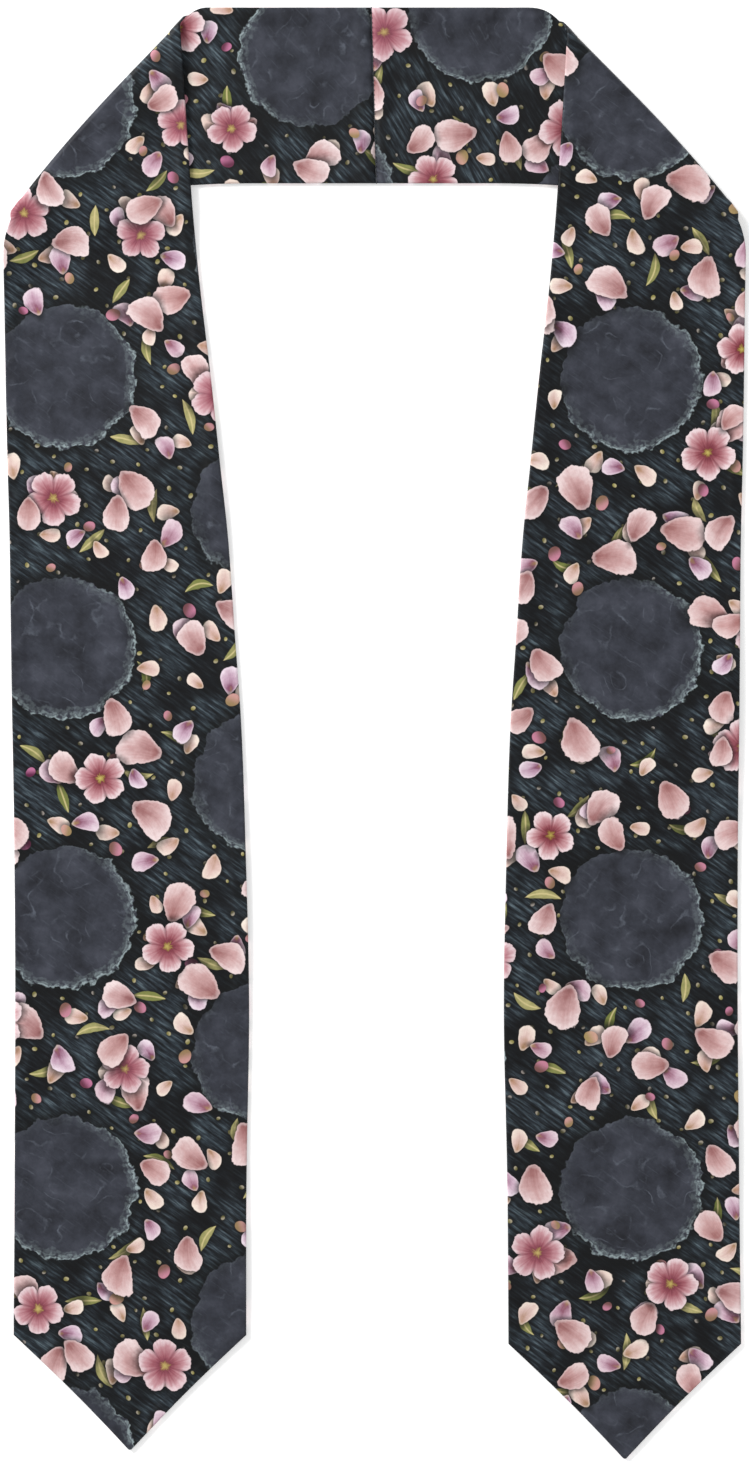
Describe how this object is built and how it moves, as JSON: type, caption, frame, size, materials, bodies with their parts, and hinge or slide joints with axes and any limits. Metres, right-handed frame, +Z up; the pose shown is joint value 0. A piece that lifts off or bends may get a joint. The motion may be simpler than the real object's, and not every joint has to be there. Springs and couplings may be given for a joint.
{
  "type": "graduation stole",
  "caption": "Long printed satin stole laid out flat, creased at both shoulders, with a seamed neck band and pointed ends.",
  "frame": {"origin": "centre of the part's box seen from above, on the surface that it lies on", "axes": "+Z up from the surface, +Y from the pointed ends to the neck band, +X to the right seen from above"},
  "size_m": [0.4174, 0.817, 0.0068],
  "materials": {
    "face_satin": "printed satin, dark slate with rose and cream petals, soft sheen",
    "backing_satin": "printed satin of the same print, a shade duller",
    "seam_thread": "pressed seam with dark thread"
  },
  "bodies": {
    "root": {"left_face_panel": "face_satin", "left_face_band": "face_satin", "left_backing_panel": "backing_satin", "left_backing_band": "backing_satin", "right_face_panel": "face_satin", "right_face_band": "face_satin", "right_backing_panel": "backing_satin", "right_backing_band": "backing_satin", "centre_back_seam": "seam_thread"}
  },
  "joints": []
}
